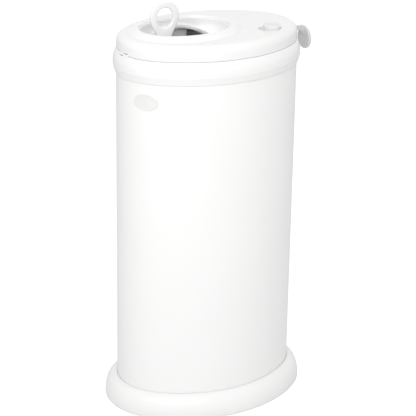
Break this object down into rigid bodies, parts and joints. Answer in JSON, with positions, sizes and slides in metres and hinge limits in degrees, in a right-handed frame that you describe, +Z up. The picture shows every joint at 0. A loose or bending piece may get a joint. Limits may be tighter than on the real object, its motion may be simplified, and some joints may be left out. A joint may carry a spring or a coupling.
{
  "type": "nappy bin",
  "caption": "Tall oval steel nappy bin with a flared plastic foot, a bulging collar and a hinged lid whose roller door is worked by a finger ring.",
  "frame": {"origin": "on the floor, in the middle of the foot's underside", "axes": "+Z up, -Y the front (mouth, finger ring and lid hinge), +Y the rear (thumb latch), +X the side with the child lock"},
  "size_m": [0.248, 0.3435, 0.649],
  "materials": {
    "tube_paint": "gloss powder coat",
    "foot_plastic": "satin",
    "collar_plastic": "gloss",
    "lid_plastic": "gloss",
    "rim_plastic": "high gloss",
    "inner_plastic": "satin",
    "door_plastic": "gloss",
    "button_plastic": "satin",
    "latch_plastic": "satin",
    "badge_white": "satin",
    "pad_rubber": "matt",
    "seal_rubber": "matt",
    "bare_steel": "zinc plated",
    "screw_steel": "zinc plated"
  },
  "bodies": {
    "pail": {"foot": "foot_plastic", "non_slip_pads": "pad_rubber", "foot_screws": "screw_steel", "steel_tube": "tube_paint", "badge": "badge_white", "collar": "collar_plastic", "collar_screws": "screw_steel", "collar_seal": "seal_rubber", "bag_ring": "inner_plastic", "latch_keeper": "bare_steel", "hinge_pin": "bare_steel"},
    "lid": {"lid_cover": "lid_plastic", "mouth_rim": "rim_plastic", "throat": "inner_plastic", "mouth_seal": "seal_rubber", "lid_plate": "inner_plastic", "lid_screws": "screw_steel", "door_bracket_left": "inner_plastic", "door_bracket_right": "inner_plastic", "bracket_screws": "screw_steel", "pivot_pin_left": "bare_steel", "pivot_pin_right": "bare_steel", "lock_tray": "lid_plastic", "latch_pin": "bare_steel", "latch_spring": "bare_steel"},
    "door": {"door_panel": "door_plastic", "door_arm_left": "door_plastic", "door_arm_right": "door_plastic", "arm_screws": "screw_steel", "finger_ring": "rim_plastic", "ring_screws": "screw_steel"},
    "lock": {"lock_button": "button_plastic", "lock_bar": "bare_steel"},
    "latch": {"latch_lever": "latch_plastic"}
  },
  "joints": [
    {"name": "lid_hinge", "type": "hinge", "parent": "pail", "child": "lid", "pos_m": [0, -0.1448, 0.576], "axis": [1, 0, 0], "range_deg": [0, 95]},
    {"name": "door_roll", "type": "hinge", "parent": "lid", "child": "door", "pos_m": [0, -0.032, 0.495], "axis": [-1, 0, 0], "range_deg": [0, 38]},
    {"name": "lock_slide", "type": "slide", "parent": "lid", "child": "lock", "axis": [0, -1, 0], "range_m": [0, 0.008]},
    {"name": "latch_turn", "type": "hinge", "parent": "lid", "child": "latch", "pos_m": [0, 0.137, 0.588], "axis": [1, 0, 0], "range_deg": [0, 15], "stiffness_Nm_per_rad": 0.1, "springref_deg": -11.46}
  ]
}
